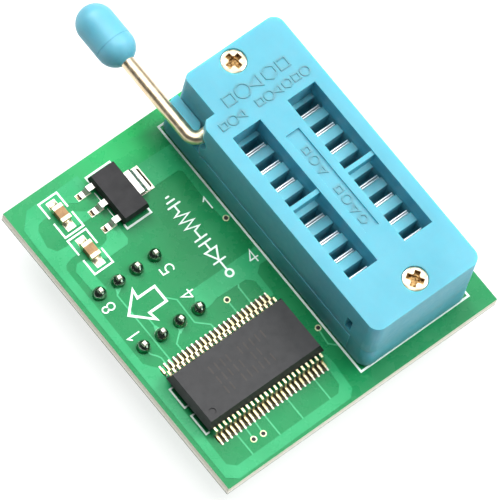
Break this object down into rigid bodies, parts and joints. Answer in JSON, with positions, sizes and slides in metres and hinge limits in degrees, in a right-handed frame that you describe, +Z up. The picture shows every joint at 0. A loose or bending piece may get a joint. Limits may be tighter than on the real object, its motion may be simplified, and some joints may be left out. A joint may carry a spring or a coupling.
{
  "type": "level-shifting chip adapter board with lever socket",
  "caption": "Plug-in adapter board for a chip programmer: lever-operated chip socket, level-shifting chip and regulator on top, plug pins in a square pattern underneath.",
  "frame": {"origin": "centre of the eight plug pins, on the plane where the plug strips seat", "axes": "+X runs from the plug towards the socket, +Y along the socket towards its lever end, +Z up out of the board"},
  "size_m": [0.0375, 0.0514, 0.0178],
  "materials": {
    "board": "green soldermask",
    "tinned": "tinned copper",
    "black_plastic": "moulded",
    "solder": "bright solder",
    "socket_plastic": "moulded",
    "comb_plastic": "moulded",
    "screw": "plated",
    "wire": "nickel plated",
    "knob_plastic": "moulded",
    "cam_plastic": "moulded",
    "chip": "moulded epoxy",
    "lead": "tinned",
    "plug_pin": "gold plated",
    "contact": "tin plated",
    "ceramic": "fired ceramic",
    "terminal": "tinned"
  },
  "bodies": {
    "board": {"circuit_board": "board", "via_barrels": "tinned", "plug_strip_front": "black_plastic", "plug_strip_rear": "black_plastic", "plug_solder_joints": "solder", "socket_base": "socket_plastic", "socket_cover": "socket_plastic", "cover_screw_front": "screw", "cover_screw_rear": "screw", "socket_solder_joints": "solder", "wide_chip_body": "chip", "wide_chip_leads_front": "lead", "wide_chip_leads_rear": "lead", "regulator_body": "chip", "regulator_tab": "lead", "plug_pin_1": "plug_pin", "plug_pin_2": "plug_pin", "plug_pin_3": "plug_pin", "plug_pin_4": "plug_pin", "plug_pin_5": "plug_pin", "plug_pin_6": "plug_pin", "plug_pin_7": "plug_pin", "plug_pin_8": "plug_pin", "socket_contact_1": "contact", "socket_contact_2": "contact", "socket_contact_3": "contact", "socket_contact_4": "contact", "socket_contact_5": "contact", "socket_contact_6": "contact", "socket_contact_7": "contact", "socket_contact_8": "contact", "socket_contact_9": "contact", "socket_contact_10": "contact", "socket_contact_11": "contact", "socket_contact_12": "contact", "socket_contact_13": "contact", "socket_contact_14": "contact", "socket_contact_15": "contact", "socket_contact_16": "contact", "regulator_leg_1": "lead", "regulator_leg_2": "lead", "regulator_leg_3": "lead", "capacitor_1_body": "ceramic", "capacitor_1_terminals": "terminal", "capacitor_2_body": "ceramic", "capacitor_2_terminals": "terminal"},
    "lever": {"lever_wire": "wire", "lever_knob": "knob_plastic", "lever_cam": "cam_plastic"},
    "comb": {"socket_comb": "comb_plastic"}
  },
  "joints": [
    {"name": "lever_hinge", "type": "hinge", "parent": "board", "child": "lever", "pos_m": [0.0195, 0.01005, 0.01084], "axis": [1, 0, 0], "range_deg": [0, 90]},
    {"name": "comb_slide", "type": "slide", "parent": "board", "child": "comb", "axis": [0, 1, 0], "range_m": [-0.00065, 0]}
  ],
  "couplings": [
    {"joint": "comb_slide", "follows": "lever_hinge", "m_per_rad": -0.00038197}
  ]
}
